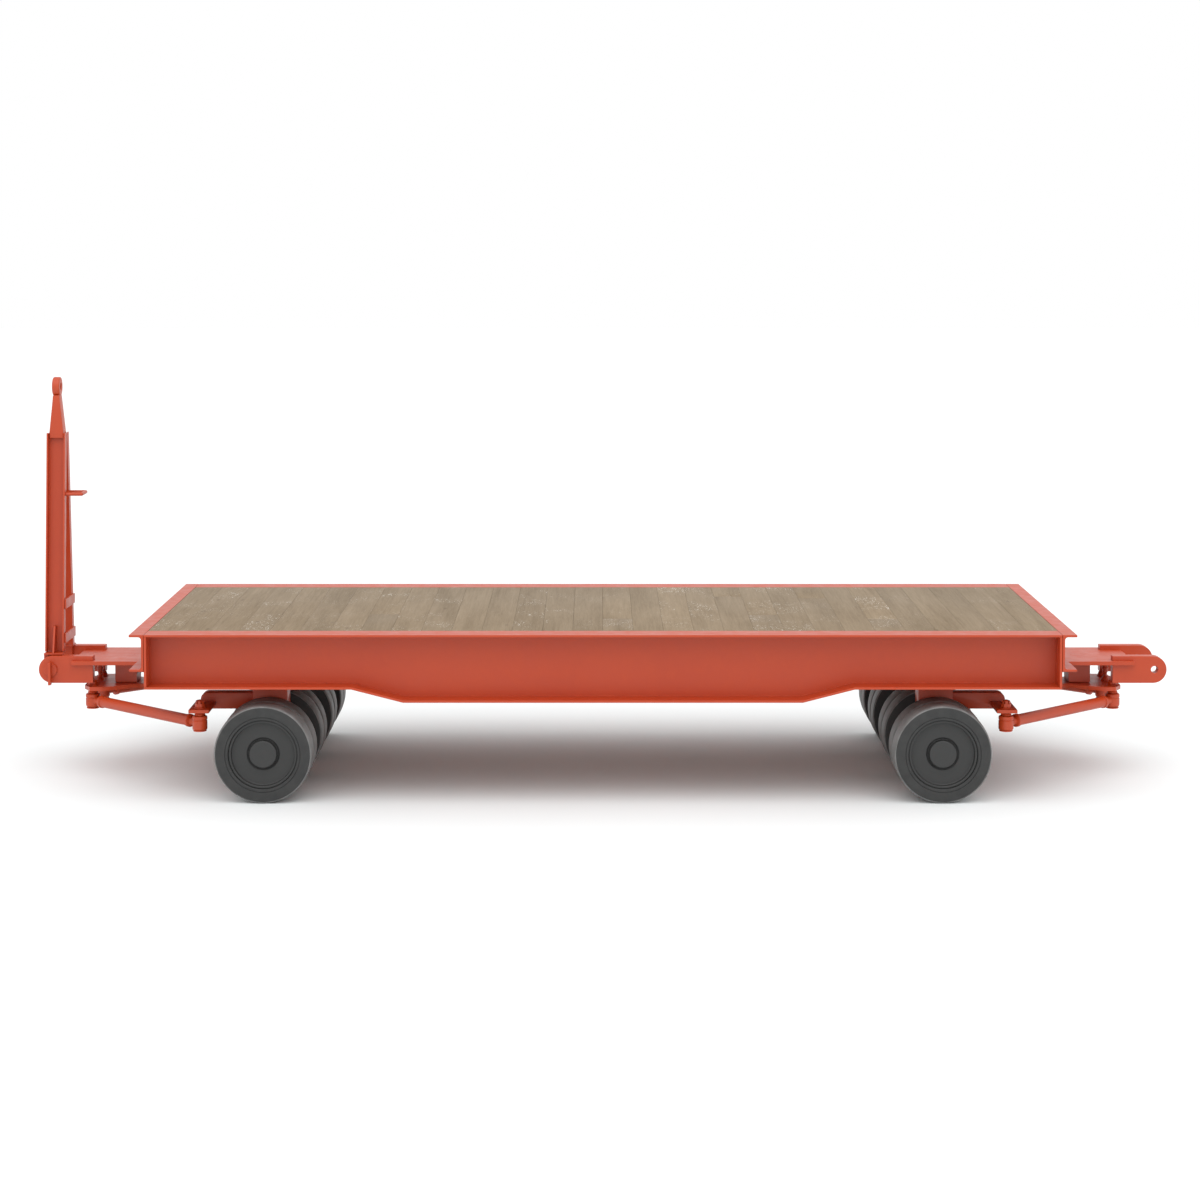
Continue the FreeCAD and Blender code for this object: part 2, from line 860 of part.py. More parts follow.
def make_drawbar_handle():
    """A bent bar between the legs for lifting the drawbar by hand."""
    start = leg_x() + size.leg_section / 2
    reach = size.handle_reach - size.handle_radius
    height = size.handle_height
    arms = [
        cylinder(start, side * size.handle_half, height, size.handle_radius, reach, ALONG_X)
        for side in (LEFT, RIGHT)
    ]
    grip = cylinder(
        start + reach,
        -size.handle_half,
        height,
        size.handle_radius,
        size.handle_half * 2,
        ALONG_Y,
    )
    corners = []
    for side in (LEFT, RIGHT):
        ball = doc.addObject("Part::Sphere", "Corner")
        bind(ball, "Radius", size.handle_radius)
        corners.append(place(ball, start + reach, side * size.handle_half, height))
    keep(fuse(arms + [grip] + corners), "drawbar_handle")


def make_drawbar_head():
    """The base plate over both legs and the shank that narrows to the eye."""
    base_top = size.head_base + size.head_base_wall
    neck = size.eye_height - size.eye_outer_radius
    base = box(
        leg_x(), 0, size.head_base, size.leg_section, size.head_base_half * 2, size.head_base_wall
    )
    loop = [
        (size.head_foot_width / -2, base_top),
        (size.head_foot_width / 2, base_top),
        (size.head_neck_width / 2, neck),
        (size.head_neck_width / 2, size.eye_height),
        (size.head_neck_width / -2, size.eye_height),
        (size.head_neck_width / -2, neck),
    ]
    shank = place(prism("XZ_Plane", loop, size.head_width), leg_x(), 0, 0)
    ring_line = (leg_x() - size.eye_wall / 2, 0, size.eye_height)
    ring_space = cylinder(*ring_line, size.eye_outer_radius, size.eye_wall, ALONG_X)
    keep(cut(fuse([base, shank]), [ring_space]), "drawbar_head")


def make_tow_eye():
    ring_line = (leg_x() - size.eye_wall / 2, 0, size.eye_height)
    ring = cylinder(*ring_line, size.eye_outer_radius, size.eye_wall, ALONG_X)
    bore = cylinder(*ring_line, size.bore_radius, size.eye_wall, ALONG_X)
    keep(cut(ring, [bore]), "tow_eye")


def make_drawbar_pins():
    """The two hinge pins, each with a head and a flat grip outside its lug."""
    inner = size.lug_outer - size.lug_wall - size.foot_gap - size.foot_wall
    shank_radius = size.bore_radius - size.pin_clearance
    pins = []
    for side in (LEFT, RIGHT):
        outwards = ALONG_Y if side == RIGHT else Rotation(Vector(1, 0, 0), 90)
        start = (-size.fork_pin, side * inner, size.fork_pin_height)
        shank = cylinder(*start, shank_radius, size.lug_outer - inner, outwards)
        face = (-size.fork_pin, side * size.lug_outer, size.fork_pin_height)
        head = cylinder(*face, size.pin_head_radius, size.pin_head_wall, outwards)
        grip = box(
            -size.fork_pin,
            side * (size.lug_outer + size.pin_head_wall + size.grip_reach / 2),
            size.fork_pin_height - size.grip_drop,
            size.grip_width,
            size.grip_reach,
            size.grip_length,
        )
        pins.append(fuse([shank, head, grip]))
    keep(group(pins), "drawbar_pins")


# ---- the whole trailer ----

def make_trailer():
    make_end_plates()
    make_joists()
    make_planks()
    for side in (LEFT, RIGHT):
        make_side_beam(side)
        make_drawbar_leg(side)
    for end in (FRONT, REAR):
        make_end_beam(end)
        make_bolster(end)
        make_kingpin_bracket(end)
        make_fork_lugs(end)
        make_fork_top_plate(end)
        make_fork_lower_plate(end)
        make_fork_pillar(end)
        make_kingpin(end)
        make_fork_studs(end)
        for side in (LEFT, RIGHT):
            make_tie_rod(end, side)
            make_bogie_frame(end, side)
            make_axle(end, side)
            for dual in DUAL_NAMES:
                make_wheel(end, side, dual)
    make_drawbar_feet()
    make_drawbar_gussets()
    make_drawbar_braces()
    make_drawbar_handle()
    make_drawbar_head()
    make_tow_eye()
    make_drawbar_pins()


def check_document():
    for item in doc.Objects:
        if "Invalid" in item.State or "Error" in item.State:
            raise RuntimeError(f"{item.Label} failed: {item.State}")
    for item in subparts:
        if item.Shape.isNull() or not item.Shape.isValid():
            raise RuntimeError(f"{item.Label} has no valid shape")


def write_parts():
    os.makedirs("parts", exist_ok=True)
    for item in subparts:
        item.Shape.exportStep(f"parts/{item.Label}.step")


make_trailer()
doc.recompute()
check_document()
write_parts()
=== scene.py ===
import json
import math
import random

import bmesh
import bpy
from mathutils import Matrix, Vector


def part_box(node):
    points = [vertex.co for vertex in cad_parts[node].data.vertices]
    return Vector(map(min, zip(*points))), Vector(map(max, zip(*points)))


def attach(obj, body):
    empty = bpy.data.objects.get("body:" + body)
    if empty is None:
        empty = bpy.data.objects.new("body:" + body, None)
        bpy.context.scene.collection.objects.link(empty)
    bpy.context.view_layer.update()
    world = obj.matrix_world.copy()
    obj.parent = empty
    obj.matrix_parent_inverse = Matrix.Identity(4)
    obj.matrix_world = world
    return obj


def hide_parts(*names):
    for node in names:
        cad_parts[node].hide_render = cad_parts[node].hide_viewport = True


# Heavy platform trailer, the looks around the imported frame. Metres. X runs along the
# trailer with the drawbar at -X, the left side at -Y faces the camera, and Z is up.

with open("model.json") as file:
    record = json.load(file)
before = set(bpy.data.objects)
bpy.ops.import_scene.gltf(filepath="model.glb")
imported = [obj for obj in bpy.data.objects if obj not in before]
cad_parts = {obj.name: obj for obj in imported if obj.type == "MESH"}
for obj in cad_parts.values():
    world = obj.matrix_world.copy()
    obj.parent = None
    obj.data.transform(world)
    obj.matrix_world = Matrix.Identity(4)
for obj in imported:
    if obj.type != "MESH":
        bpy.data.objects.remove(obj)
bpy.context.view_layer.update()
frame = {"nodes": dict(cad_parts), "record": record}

ENDS = {"front": -1, "rear": 1}
SIDES = {"left": -1, "right": 1}
DUALS = ("inner", "outer")
X, Y, Z = Vector((1, 0, 0)), Vector((0, 1, 0)), Vector((0, 0, 1))

# wheels
TYRE_WIDTH = 0.146
TYRE_CROWN = 0.0015
TYRE_SHOULDER = 0.016
SIDEWALL_GROOVE = 0.199
RIM_RADIUS = 0.183
RIM_WALL = 0.015
RIM_LIP = 0.145
DISC_FACE = 0.118
DISC_WALL = 0.020
HUB_RADIUS = 0.070
HUB_BORE = 0.0358
HUB_CAVITY = 0.1125
HUB_END = 0.130
CAP_RADIUS = 0.073
CAP_COLLAR = 0.092
CAP_TOP = 0.140
CAP_ROUND = 0.006
RIM_SEAT = RIM_RADIUS - 0.0006
LIP_ROUND = 0.004
DISH_ROUND = 0.008

# steering linkage
ROD_END_RADIUS = 0.040
ROD_RADIUS = 0.030
ROD_NECK = 0.021
ROD_NECK_LENGTH = 0.042
COLLAR_LENGTH = 0.022
COLLAR_RADIUS = ROD_RADIUS + 0.005
FORK_BORE = 0.01405
BOGIE_BORE = 0.0315
STUD_RADIUS = 0.0139
STUD_CAP_RADIUS = 0.036
STUD_CAP_WALL = 0.008
ROD_END_DEPTH = 0.075
BOOT_RADIUS = 0.029
BOOT_CLEARANCE = 0.0015
WASHER_RADIUS = 0.032
WASHER_WALL = 0.0055
NUT_RADIUS = 0.027
NUT_STACK = 0.033
TIP_RADIUS = 0.011

# bogies
TURNTABLE_RADIUS = 0.116
TURNTABLE_WALL = 0.020
SWIVEL_PIN = 0.040
COLUMN_LENGTH = 0.187
COLUMN_WIDTH = 0.150
AXLE_BORE = 0.035
BOSS_RADIUS = 0.075
TURNED_EDGE = 0.003
BLOCK_EDGE = 0.004
ARM_BOTTOM = 0.438
ARM_DEPTH = 0.087
ARM_WIDTH = 0.090
ARM_REACH = 0.353
BRACKET_LENGTH = 0.110
BRACKET_BOTTOM = 0.460
BRACKET_WALL = 0.020
BRACKET_MARGIN = 0.046
STUD_FOOT = 0.358

# forks, frame and drawbar
PILLAR_BASE = 0.025
PILLAR_NECK = 0.010
PILLAR_SHAFT = 0.015
PILLAR_COLLAR = 0.018
KINGPIN_RADIUS = 0.040
RETAINER_WALL = 0.016
BEAM_WALL = 0.012
CHANNEL_FILLET = 0.016
HEAD_FOOT_WIDTH = 0.079
HEAD_NECK_WIDTH = 0.034
HEAD_DEPTH = 0.084
HEAD_TUCK = 0.030
EYE_BORE = 0.020

# deck
PLANK_COUNT = 30
PLANK_GAP = 0.0008
PLANK_EDGE = 0.0006


# ---------------------------------------------------------------- camera and light


def make_camera():
    data = bpy.data.cameras.new("camera")
    data.sensor_width = 36
    data.lens = 81.05
    data.shift_x = 0.00238
    data.shift_y = -0.2
    camera = bpy.data.objects.new("camera", data)
    camera.location = (-0.031, -15.139, 3.097)
    camera.rotation_euler = (math.radians(90 - 3.017), 0, 0)
    bpy.context.scene.collection.objects.link(camera)
    bpy.context.scene.camera = camera


def make_world(strength):
    world = bpy.data.worlds.new("studio")
    world.use_nodes = True
    background = world.node_tree.nodes["Background"]
    background.inputs["Color"].default_value = (1, 1, 1, 1)
    background.inputs["Strength"].default_value = strength
    bpy.context.scene.world = world


def make_light(name, kind, place, energy, **settings):
    """A light at place that faces the middle of the deck."""
    data = bpy.data.lights.new(name, kind)
    data.energy = energy
    for key, value in settings.items():
        setattr(data, key, value)
    light = bpy.data.objects.new(name, data)
    light.location = place
    light.rotation_euler = (Vector((0, 0, 0.5)) - Vector(place)).to_track_quat("-Z", "Y").to_euler()
    bpy.context.scene.collection.objects.link(light)


# ---------------------------------------------------------------- material nodes


def shader(name, **settings):
    """A new material's node tree and its Principled shader, with even values set on it."""
    made = bpy.data.materials.new(name)
    made.use_nodes = True
    surface = made.node_tree.nodes["Principled BSDF"]
    for socket, value in settings.items():
        surface.inputs[socket.replace("_", " ")].default_value = value
    return made, made.node_tree, surface


def add(tree, kind, inputs=None, **settings):
    """A node with its settings, its inputs given by number or name as values or sockets."""
    made = tree.nodes.new(kind)
    for key, value in settings.items():
        setattr(made, key, value)
    for socket, value in (inputs or {}).items():
        if isinstance(value, bpy.types.NodeSocket):
            tree.links.new(value, made.inputs[socket])
        else:
            made.inputs[socket].default_value = value
    return made


def position(tree, scale=(1, 1, 1), shift=None):
    """Object coordinates, stretched by scale."""
    spot = add(tree, "ShaderNodeTexCoord").outputs["Object"]
    if shift is not None:
        spot = add(tree, "ShaderNodeVectorMath", {0: spot, 1: shift}, operation="ADD").outputs[0]
    return add(tree, "ShaderNodeMapping", {"Vector": spot, "Scale": scale}).outputs[0]


def noise(tree, where, scale, detail=3.0, roughness=0.5, distortion=0.0):
    inputs = {
        "Vector": where,
        "Scale": scale,
        "Detail": detail,
        "Roughness": roughness,
        "Distortion": distortion,
    }
    return add(tree, "ShaderNodeTexNoise", inputs).outputs["Fac"]


def spread(tree, value, low, high, to_low=0.0, to_high=1.0):
    """The value between low and high, mapped to the range given."""
    inputs = {0: value, 1: low, 2: high, 3: to_low, 4: to_high}
    return add(tree, "ShaderNodeMapRange", inputs).outputs[0]


def mix(tree, share, first, second):
    inputs = {0: share, 6: first, 7: second}
    return add(tree, "ShaderNodeMix", inputs, data_type="RGBA").outputs[2]


def combine(tree, operation, first, second):
    return add(tree, "ShaderNodeMath", {0: first, 1: second}, operation=operation).outputs[0]


def bump(tree, height, strength, distance, below=None):
    inputs = {"Height": height, "Strength": strength, "Distance": distance}
    if below is not None:
        inputs["Normal"] = below
    return add(tree, "ShaderNodeBump", inputs).outputs[0]


def attribute(tree, name):
    return add(tree, "ShaderNodeAttribute", attribute_name=name).outputs["Fac"]


# ---------------------------------------------------------------- materials


def make_paint():
    """Satin orange machine paint: a faint orange peel, drifting tone and a little road dust."""
    made, tree, surface = shader("orange_paint", Coat_Weight=0.08, Coat_Roughness=0.25)
    drift = noise(tree, position(tree), 2.2, detail=4)
    cloud = noise(tree, position(tree), 14, detail=5, roughness=0.6)
    peel = noise(tree, position(tree), 420, detail=2)
    speck = spread(tree, noise(tree, position(tree), 230, detail=2), 0.70, 0.78)
    tone = mix(tree, drift, (0.440, 0.040, 0.0052, 1), (0.490, 0.052, 0.0074, 1))
    worn = mix(tree, spread(tree, cloud, 0.45, 0.75, 0, 0.35), tone, (0.52, 0.064, 0.013, 1))
    dusty = mix(tree, combine(tree, "MULTIPLY", speck, 0.10), worn, (0.42, 0.30, 0.24, 1))
    tree.links.new(dusty, surface.inputs["Base Color"])
    tree.links.new(spread(tree, cloud, 0.3, 0.7, 0.36, 0.50), surface.inputs["Roughness"])
    tree.links.new(bump(tree, peel, 0.10, 0.0006), surface.inputs["Normal"])
    return made


def make_wood():
    """Worn, dusty softwood with its grain along Y; each plank has its own shift, tone and wear."""
    made, tree, surface = shader("deck_wood", Specular_IOR_Level=0.3)
    shift = add(tree, "ShaderNodeCombineXYZ", {0: 0.0, 1: attribute(tree, "grain"), 2: 0.0})
    here = shift.outputs[0]
    broad = noise(tree, position(tree, (7, 0.9, 7), here), 1, 4, 0.6, 0.4)
    lines = noise(tree, position(tree, (70, 2.2, 70), here), 1, 5, 0.65, 0.6)
    fibre = noise(tree, position(tree, (420, 9, 420), here), 1, 3, 0.6)
    knot_map = position(tree, (6.5, 2.0, 6.5), here)
    knot_cells = add(tree, "ShaderNodeTexVoronoi", {"Vector": knot_map, "Scale": 1.0})
    knots = spread(tree, knot_cells.outputs["Distance"], 0.03, 0.10, 1, 0)
    scratch = noise(tree, position(tree, (75, 20, 75), here), 1, 5, 0.8, 1.6)
    patches = noise(tree, position(tree, (3.5, 3.2, 3.5), here), 1, 3)
    marked = combine(tree, "MULTIPLY", spread(tree, patches, 0.46, 0.60), attribute(tree, "wear"))
    flecks = combine(tree, "MULTIPLY", spread(tree, scratch, 0.570, 0.620), marked)

    coarse = combine(tree, "MULTIPLY", broad, 0.6)
    grain = combine(tree, "ADD", combine(tree, "MULTIPLY", lines, 0.4), coarse)
    dark, pale = (0.170, 0.122, 0.072, 1), (0.290, 0.217, 0.139, 1)
    tone = mix(tree, spread(tree, grain, 0.30, 0.70), dark, pale)
    fibrous = mix(tree, spread(tree, fibre, 0.35, 0.7, 0.0, 0.25), tone, (0.36, 0.29, 0.21, 1))
    knotted = mix(tree, combine(tree, "MULTIPLY", knots, 0.40), fibrous, (0.115, 0.078, 0.048, 1))
    flecked = mix(tree, combine(tree, "MULTIPLY", flecks, 0.85), knotted, (0.80, 0.76, 0.70, 1))
    inputs = {"Value": attribute(tree, "tone"), "Color": flecked}
    own = add(tree, "ShaderNodeHueSaturation", inputs)
    tree.links.new(own.outputs[0], surface.inputs["Base Color"])
    tree.links.new(spread(tree, grain, 0.3, 0.7, 0.88, 0.70), surface.inputs["Roughness"])
    ridges = bump(tree, lines, 0.35, 0.0012)
    tree.links.new(bump(tree, fibre, 0.3, 0.0004, ridges), surface.inputs["Normal"])
    return made


def make_rubber(name, dark, light, low, high):
    """Solid-tyre rubber, mottled with bloom and dust between a dark and a light tone."""
    made, tree, surface = shader(name, Specular_IOR_Level=0.4)
    cloud = noise(tree, position(tree), 16, detail=6, roughness=0.65)
    grit = noise(tree, position(tree), 520, detail=3, roughness=0.7)
    mottled = mix(tree, spread(tree, cloud, 0.35, 0.70), dark, light)
    dusty = mix(tree, spread(tree, grit, 0.55, 0.75, 0.0, 0.3), mottled, light)
    tree.links.new(dusty, surface.inputs["Base Color"])
    tree.links.new(spread(tree, cloud, 0.3, 0.7, low, high), surface.inputs["Roughness"])
    tree.links.new(bump(tree, grit, 0.35, 0.0006), surface.inputs["Normal"])
    return made


def make_rim_paint():
    """Dark grey wheel enamel, a little chalky, with a fine cast texture under it."""
    made, tree, surface = shader("rim_paint", Coat_Weight=0.05, Coat_Roughness=0.4)
    cloud = noise(tree, position(tree), 22, detail=5)
    cast = noise(tree, position(tree), 260, detail=4, roughness=0.6)
    tone = mix(tree, cloud, (0.022, 0.022, 0.022, 1), (0.031, 0.031, 0.030, 1))
    tree.links.new(tone, surface.inputs["Base Color"])
    tree.links.new(spread(tree, cloud, 0.3, 0.7, 0.46, 0.60), surface.inputs["Roughness"])
    tree.links.new(bump(tree, cast, 0.2, 0.0007), surface.inputs["Normal"])
    return made


def make_steel():
    """Bare turned steel with fine machining marks and a dull bloom of oxide."""
    made, tree, surface = shader("bare_steel", Metallic=0.9)
    bloom = noise(tree, position(tree), 45, detail=6, roughness=0.7)
    marks = noise(tree, position(tree, (40, 40, 1500)), 1, detail=2)
    tone = mix(tree, spread(tree, bloom, 0.4, 0.75), (0.36, 0.35, 0.34, 1), (0.16, 0.12, 0.10, 1))
    tree.links.new(tone, surface.inputs["Base Color"])
    tree.links.new(spread(tree, bloom, 0.3, 0.75, 0.28, 0.62), surface.inputs["Roughness"])
    tree.links.new(bump(tree, marks, 0.15, 0.0003), surface.inputs["Normal"])
    return made


def make_floor_finish():
    made, tree, surface = shader("floor_finish", Roughness=0.9, Specular_IOR_Level=0.1)
    cloud = noise(tree, position(tree), 0.6, detail=3)
    tone = mix(tree, cloud, (0.84, 0.87, 0.872, 1), (0.87, 0.90, 0.902, 1))
    tree.links.new(tone, surface.inputs["Base Color"])
    return made


make_camera()
make_world(1.0)
make_light("sky", "SUN", (-0.5, -3.8, 7.0), 1.08, angle=math.radians(75))
make_light("key", "AREA", (1.5, -4.0, 7.5), 66, shape="RECTANGLE", size=9, size_y=6)

PAINT = make_paint()
WOOD = make_wood()
SIDEWALL = make_rubber("tyre_sidewall", (0.026, 0.026, 0.026, 1), (0.041, 0.041, 0.040, 1), 0.50, 0.66)
# The tread rubber's much lighter grey is partly real scuff and dust and partly painted highlight: the
# sheen of the light on the tread is put into its colour.
TREAD_DUST_AND_SHEEN = make_rubber("tyre_tread_dust_and_sheen", (0.125, 0.125, 0.124, 1), (0.220, 0.219, 0.216, 1), 0.45, 0.65)
RIM_PAINT = make_rim_paint()
STEEL = make_steel()
FINISHES = {
    "orange_paint": PAINT,
    "deck_wood": WOOD,
    "tyre": SIDEWALL,
    "rim_paint": RIM_PAINT,
    "bare_steel": STEEL,
}


# ---------------------------------------------------------------- mesh building


def lathe(bm, profile, centre, axis=Z, segments=48, closed=False):
    """Turns (radius, height) points about an axis through centre; radius 0 closes an end."""
    turn = Z.rotation_difference(Vector(axis))
    rings = []
    for radius, height in profile:
        angles = [math.tau * step / segments for step in range(segments if radius else 1)]
        spots = [Vector((radius * math.cos(a), radius * math.sin(a), height)) for a in angles]
        rings.append([bm.verts.new(Vector(centre) + turn @ spot) for spot in spots])
    faces = []
    for low, high in zip(rings, rings[1:] + (rings[:1] if closed else [])):
        for step in range(segments):
            after = (step + 1) % segments
            corners = [
                low[step % len(low)],
                low[after % len(low)],
                high[after % len(high)],
                high[step % len(high)],
            ]
            faces.append(bm.faces.new(dict.fromkeys(corners)))
    return faces


def arc(radius_at, height_at, radius, start, end, steps=6):
    """Points on a round corner of a lathe profile, from one angle to another in degrees."""
    angles = [math.radians(start + (end - start) * step / steps) for step in range(steps + 1)]
    return [(radius_at + radius * math.cos(a), height_at + radius * math.sin(a)) for a in angles]


def slab(bm, low, high, width):
    """A block between two corners, its edges rounded to a width."""
    made = bmesh.ops.create_cube(bm, size=1.0)["verts"]
    low, high = Vector(low), Vector(high)
    for vert in made:
        share = vert.co + Vector((0.5, 0.5, 0.5))
        vert.co = Vector(low[i] + (high[i] - low[i]) * share[i] for i in range(3))
    round_edges(bm, {line for vert in made for line in vert.link_edges}, width)


def prism(bm, outline, axis, start, depth, edge=0.0, segments=2):
    """A solid from a flat outline of points, pushed depth along an axis from start."""
    spots = [bm.verts.new(Vector(point) + axis * start) for point in outline]
    base = bm.faces.new(spots)
    pushed = bmesh.ops.extrude_face_region(bm, geom=[base])["geom"]
    moved = [item for item in pushed if isinstance(item, bmesh.types.BMVert)]
    bmesh.ops.translate(bm, verts=moved, vec=axis * depth)
    edges = {line for vert in spots + moved for line in vert.link_edges}
    if edge:
        round_edges(bm, edges, edge, segments)


def round_edges(bm, edges, width, segments=2):
    bmesh.ops.bevel(
        bm,
        geom=list(edges),
        offset=width,
        offset_type="OFFSET",
        segments=segments,
        profile=0.5,
        affect="EDGES",
        clamp_overlap=True,
    )


def ring_points(centre, radius, count, turn=0.0):
    angles = [math.tau * step / count + turn for step in range(count)]
    return [Vector(centre) + Vector((radius * math.cos(a), radius * math.sin(a), 0)) for a in angles]


def castle_nut(bm, centre, radius, depth):
    """A slotted hexagon nut standing on centre."""
    body = depth * 0.62
    prism(bm, ring_points(centre, radius, 6), Z, 0, body, edge=radius * 0.07)
    for step in range(6):
        middle = math.tau * step / 6 + math.pi / 6
        tooth = []
        for reach, half in ((0.52, 17), (0.84, 20)):
            for side in (-1, 1) if reach < 0.6 else (1, -1):
                a = middle + side * math.radians(half)
                spot = Vector((radius * reach * math.cos(a), radius * reach * math.sin(a), 0))
                tooth.append(Vector(centre) + spot)
        prism(bm, tooth, Z, body - 0.001, depth - body + 0.001, edge=radius * 0.03, segments=1)


def piece(name, bm, body, slot, materials, *nodes):
    """Turns a mesh in progress into a piece that rides on a body and stands for CAD nodes."""
    bmesh.ops.recalc_face_normals(bm, faces=bm.faces)
    mesh = bpy.data.meshes.new(name)
    bm.to_mesh(mesh)
    bm.free()
    mesh.shade_smooth()
    mesh.set_sharp_from_angle(angle=math.radians(32))
    for material in materials:
        mesh.materials.append(material)
    made = bpy.data.objects.new(name, mesh)
    bpy.context.scene.collection.objects.link(made)
    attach(made, body)
    if nodes:
        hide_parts(*nodes)
    return made


def middle_of(node):
    low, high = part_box(node)
    return (low + high) / 2


# ---------------------------------------------------------------- kept CAD nodes


def soften(node, width):
    """Rounds a CAD node's edges with modifiers, so that they catch the light as steel does."""
    made = frame["nodes"][node]
    made.data.shade_smooth()
    weld = made.modifiers.new("weld", "WELD")
    weld.merge_threshold = 0.00002
    flat = made.modifiers.new("flat", "DECIMATE")
    flat.decimate_type = "DISSOLVE"
    flat.angle_limit = math.radians(1.0)
    edge = made.modifiers.new("edge", "BEVEL")
    edge.width = width
    edge.segments = 2
    edge.limit_method = "ANGLE"
    edge.angle_limit = math.radians(40)
    edge.harden_normals = False
    normals = made.modifiers.new("normals", "WEIGHTED_NORMAL")
    normals.keep_sharp = True


def dress_cad_nodes():
    """Gives every CAD node the finish of its slot, and rounds the edges of the steel."""
    for entry in frame["record"]["subparts"]:
        node = frame["nodes"][entry["node"]]
        node.data.materials.clear()
        node.data.materials.append(FINISHES[entry["material_slot"]])
        if entry["material_slot"] in ("orange_paint", "bare_steel"):
            soften(entry["node"], 0.0012 if "drawbar" in entry["node"] else 0.002)


# ---------------------------------------------------------------- deck


def make_plank(name, low, high, dice):
    bm = bmesh.new()
    slab(bm, low, high, PLANK_EDGE)
    made = piece(name, bm, "chassis", "deck_wood", [WOOD], "deck_planks")
    values = {
        "grain": dice.uniform(0, 60),
        "tone": dice.choice((0.94, 0.97, 0.99, 1.0, 1.0, 1.02, 1.10)),
        "wear": dice.choice((0.10, 0.25, 0.40, 0.70, 1.0)),
    }
    for key, value in values.items():
        field = made.data.attributes.new(key, "FLOAT", "POINT")
        field.data.foreach_set("value", [value] * len(made.data.vertices))


def make_deck():
    """Thirty planks across the trailer; some are two lengths that meet part-way along."""
    dice = random.Random(11)
    low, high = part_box("deck_planks")
    pitch = (high.x - low.x + PLANK_GAP) / PLANK_COUNT
    for index in range(PLANK_COUNT):
        start = low.x + index * pitch
        end = start + pitch - PLANK_GAP
        drop = dice.uniform(0, 0.0006)
        cuts = [low.y, high.y]
        if dice.random() < 0.2:
            cuts.insert(1, dice.uniform(low.y * 0.55, high.y * 0.55))
        for part, (near, far) in enumerate(zip(cuts, cuts[1:])):
            name = f"deck_plank_{index + 1:02d}_{part + 1}"
            gap = PLANK_GAP / 2 if part else 0
            make_plank(name, (start, near + gap, low.z), (end, far, high.z - drop), dice)


# ---------------------------------------------------------------- wheels


def tyre_profile(radius, face):
    """One tyre's section from its bore round the tread, face being its outward side."""
    half = TYRE_WIDTH / 2
    shoulder = TYRE_SHOULDER
    groove, depth = SIDEWALL_GROOVE, 0.003
    side = [
        (RIM_RADIUS, 0.0),
        (RIM_RADIUS, half - 0.004),
        (RIM_RADIUS + 0.004, half),
        (groove - 0.0022, half),
        (groove - 0.0010, half - depth),
        (groove + 0.0010, half - depth),
        (groove + 0.0022, half),
        (radius - shoulder - 0.012, half),
        (radius - shoulder - 0.006, half - 0.0008),
    ]
    edge = radius - TYRE_CROWN
    side += arc(edge - shoulder, half - shoulder, shoulder, 80, 0, 7)
    side += [(radius - TYRE_CROWN * 0.3, half * 0.4), (radius, 0.0)]
    mirrored = [(r, -h) for r, h in side[-2:0:-1]]
    return [(r, face + h) for r, h in side + mirrored]


def make_tyres(end, side, dual):
    """A pair of solid tyres, smooth across the tread and ringed by a moulded groove."""
    where = f"{end}_{side}_{dual}"
    node = f"tyres_{where}"
    low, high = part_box(node)
    centre = (low + high) / 2
    radius = (high.z - low.z) / 2
    reach = (high.y - low.y) / 2 - TYRE_WIDTH / 2
    for number, face in enumerate((-reach, reach)):
        bm = bmesh.new()
        lathe(bm, tyre_profile(radius, face), centre, Y, 128, closed=True)
        bm.normal_update()
        for tyre_face in bm.faces:
            spot = tyre_face.calc_center_median() - centre
            out = math.hypot(spot.x, spot.z)
            # Faces round the crown get the lighter tread rubber, whose grey is partly scuff and dust
            # and partly a painted highlight.
            tyre_face.material_index = 1 if out > radius - TYRE_SHOULDER * 0.6 else 0
        name = f"tyre_{where}_{number + 1}"
        piece(name, bm, f"{where}_wheel", "tyre", [SIDEWALL, TREAD_DUST_AND_SHEEN], node)


def disc_profile(outward):
    """The outward half of a rim: lip, barrel, dished disc, collar and domed hub cap."""
    inner = RIM_RADIUS - RIM_WALL
    lip = RIM_LIP - LIP_ROUND
    dish = DISC_FACE + DISH_ROUND
    moat = CAP_RADIUS + CAP_ROUND
    moat_floor = DISC_FACE - 0.010
    cap_shoulder = CAP_TOP - CAP_ROUND
    points = [(RIM_SEAT, 0.0), (RIM_SEAT, lip)]
    points += arc(RIM_SEAT - LIP_ROUND, lip, LIP_ROUND, 0, 90, 3)
    points += [(inner + LIP_ROUND, RIM_LIP)]
    points += arc(inner + LIP_ROUND, lip, LIP_ROUND, 90, 180, 3)
    points += [(inner, dish)]
    points += arc(inner - DISH_ROUND, dish, DISH_ROUND, 0, -90, 4)
    points += [(CAP_COLLAR + 0.012, DISC_FACE)]
    points += [(CAP_COLLAR, DISC_FACE + 0.0015)]
    points += arc(CAP_COLLAR - CAP_ROUND, DISC_FACE - 0.004, CAP_ROUND, 70, 0, 3)
    points += [(moat, moat_floor)]
    points += arc(moat, moat_floor + CAP_ROUND, CAP_ROUND, -90, -180, 3)
    points += [(CAP_RADIUS, cap_shoulder)]
    points += arc(CAP_RADIUS - CAP_ROUND, cap_shoulder, CAP_ROUND, 0, 90, 4)
    points += [(CAP_RADIUS - 0.016, CAP_TOP - 0.0012), (0.030, CAP_TOP - 0.001), (0, CAP_TOP)]
    return [(r, outward * h) for r, h in points]


